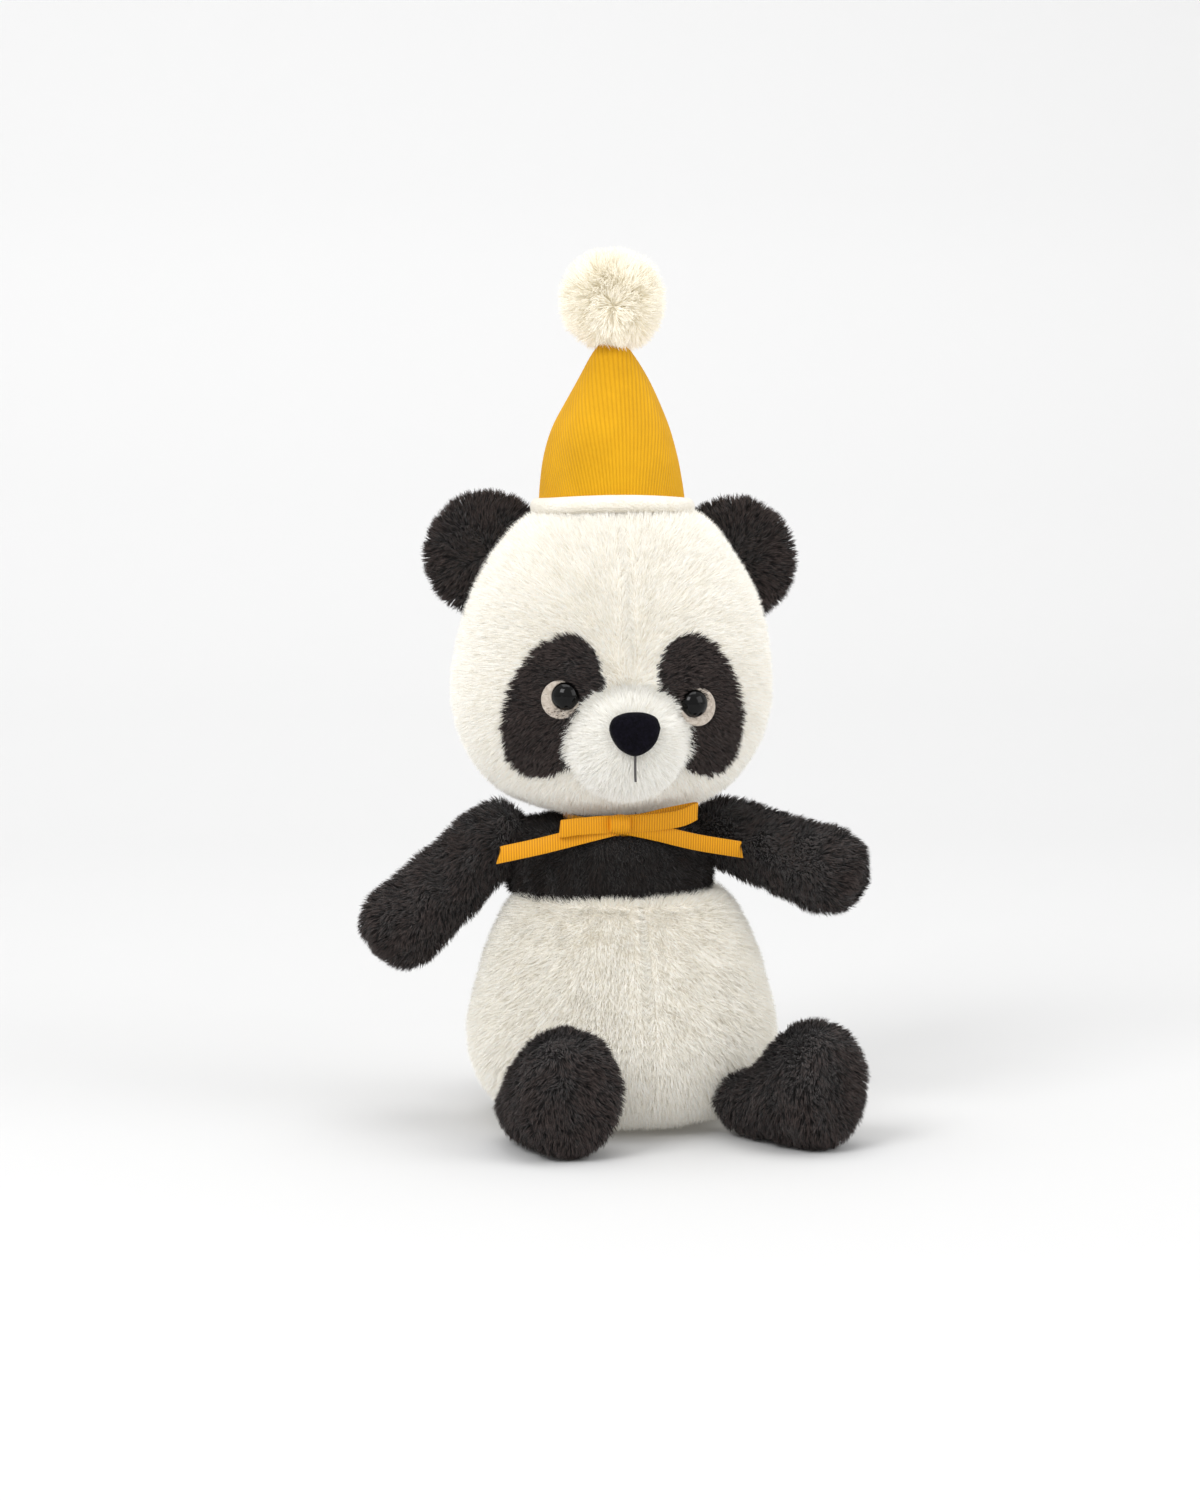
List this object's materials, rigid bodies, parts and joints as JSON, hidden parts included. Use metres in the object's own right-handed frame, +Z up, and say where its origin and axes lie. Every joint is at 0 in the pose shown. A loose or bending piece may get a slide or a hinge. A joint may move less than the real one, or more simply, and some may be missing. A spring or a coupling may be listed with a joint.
{
  "type": "plush panda",
  "caption": "Sitting plush panda with turning head, swinging arms, splaying legs, folding ears, a cone hat with pom-pom and a ribbon bow.",
  "frame": {"origin": "centre of the flat seat under the belly, on the table", "axes": "+Z up through the belly, the toy faces -Y, its own left side is +X"},
  "size_m": [0.1247, 0.1073, 0.2161],
  "materials": {
    "bag_cloth": "thin plain weave",
    "bean_plastic": "small smooth plastic pellets",
    "cream_plush": "fluffy pile",
    "cream_pompom_yarn": "cut yarn ball",
    "cream_thread": "twisted sewing thread",
    "cream_velour": "short smooth pile",
    "eye_plastic": "polished black",
    "grey_felt": "pressed felt",
    "long_black_plush": "fluffy pile with browner tips",
    "mustard_corduroy": "fine-wale corduroy",
    "mustard_grosgrain": "cross-ribbed satin-edged ribbon",
    "navy_felt": "dense felt",
    "navy_thread": "twisted sewing thread",
    "polyester_fill": "loose white polyester wadding",
    "short_black_plush": "dense short pile",
    "washer_plastic": "moulded white plastic",
    "white_plush": "fluffy pile"
  },
  "bodies": {
    "body": {"belly_back_panel": "cream_plush", "belly_stuffing": "polyester_fill", "bow_knot": "mustard_grosgrain", "left_belly_front_panel": "cream_plush", "left_bow_loop": "mustard_grosgrain", "left_bow_tail": "mustard_grosgrain", "neck_ribbon": "mustard_grosgrain", "pellet_bag": "bag_cloth", "pellets": "bean_plastic", "right_belly_front_panel": "cream_plush", "right_bow_loop": "mustard_grosgrain", "right_bow_tail": "mustard_grosgrain", "seat_panel": "cream_plush", "torso_cover": "short_black_plush", "torso_stuffing": "polyester_fill"},
    "head": {"face_panel": "cream_plush", "hat_band": "cream_velour", "hat_shell": "mustard_corduroy", "hat_stuffing": "polyester_fill", "head_stuffing": "polyester_fill", "left_eye_patch": "long_black_plush", "left_felt_disc": "grey_felt", "left_head_back_panel": "cream_plush", "left_lock_washer": "washer_plastic", "left_safety_eye": "eye_plastic", "mouth_stitch": "navy_thread", "muzzle": "white_plush", "muzzle_stuffing": "polyester_fill", "nose": "navy_felt", "right_eye_patch": "long_black_plush", "right_felt_disc": "grey_felt", "right_head_back_panel": "cream_plush", "right_lock_washer": "washer_plastic", "right_safety_eye": "eye_plastic"},
    "left_arm": {"left_arm_stuffing": "polyester_fill", "left_arm_under_panel": "long_black_plush", "left_arm_upper_panel": "long_black_plush"},
    "left_ear": {"left_ear_back": "long_black_plush", "left_ear_front": "long_black_plush"},
    "left_leg": {"left_leg_cover": "long_black_plush", "left_leg_stuffing": "polyester_fill", "left_sole": "long_black_plush"},
    "neck": {"neck_stitching": "cream_thread"},
    "pompom": {"pompom": "cream_pompom_yarn", "pompom_tie": "cream_thread"},
    "right_arm": {"right_arm_stuffing": "polyester_fill", "right_arm_under_panel": "long_black_plush", "right_arm_upper_panel": "long_black_plush"},
    "right_ear": {"right_ear_back": "long_black_plush", "right_ear_front": "long_black_plush"},
    "right_leg": {"right_leg_cover": "long_black_plush", "right_leg_stuffing": "polyester_fill", "right_sole": "long_black_plush"}
  },
  "joints": [
    {"name": "head_turn", "type": "hinge", "parent": "body", "child": "neck", "pos_m": [-0.0019, 0.004, 0.0775], "axis": [0, 0, 1], "range_deg": [-25, 25], "stiffness_Nm_per_rad": 0.03},
    {"name": "head_nod", "type": "hinge", "parent": "neck", "child": "head", "pos_m": [-0.0019, 0.004, 0.0775], "axis": [1, 0, 0], "range_deg": [-5, 3], "stiffness_Nm_per_rad": 0.4},
    {"name": "right_arm_swing", "type": "hinge", "parent": "body", "child": "right_arm", "pos_m": [-0.0323, 0.0018, 0.0697], "axis": [-0.6691, -0.0496, 0.7415], "range_deg": [-40, 35], "stiffness_Nm_per_rad": 0.02},
    {"name": "left_arm_swing", "type": "hinge", "parent": "body", "child": "left_arm", "pos_m": [0.027, -0.001, 0.0706], "axis": [0.231, -0.1476, 0.9617], "range_deg": [-12, 45], "stiffness_Nm_per_rad": 0.02},
    {"name": "right_leg_splay", "type": "hinge", "parent": "body", "child": "right_leg", "pos_m": [-0.0275, -0.0294, 0.0106], "axis": [0, 0, 1], "range_deg": [-45, 4], "stiffness_Nm_per_rad": 0.02},
    {"name": "left_leg_splay", "type": "hinge", "parent": "body", "child": "left_leg", "pos_m": [0.0255, -0.0304, 0.0106], "axis": [0, 0, 1], "range_deg": [-30, 20], "stiffness_Nm_per_rad": 0.02},
    {"name": "right_ear_fold", "type": "hinge", "parent": "head", "child": "right_ear", "pos_m": [-0.03639, 0.01, 0.1433], "axis": [-0.5299, 0, -0.848], "range_deg": [-20, 20], "stiffness_Nm_per_rad": 0.01},
    {"name": "left_ear_fold", "type": "hinge", "parent": "head", "child": "left_ear", "pos_m": [0.03359, 0.01, 0.1417], "axis": [-0.5299, 0, 0.848], "range_deg": [-20, 20], "stiffness_Nm_per_rad": 0.01},
    {"name": "pompom_wobble", "type": "hinge", "parent": "head", "child": "pompom", "pos_m": [-0.0019, 0.004, 0.193], "axis": [1, 0, 0], "range_deg": [-20, 20], "stiffness_Nm_per_rad": 0.01}
  ]
}
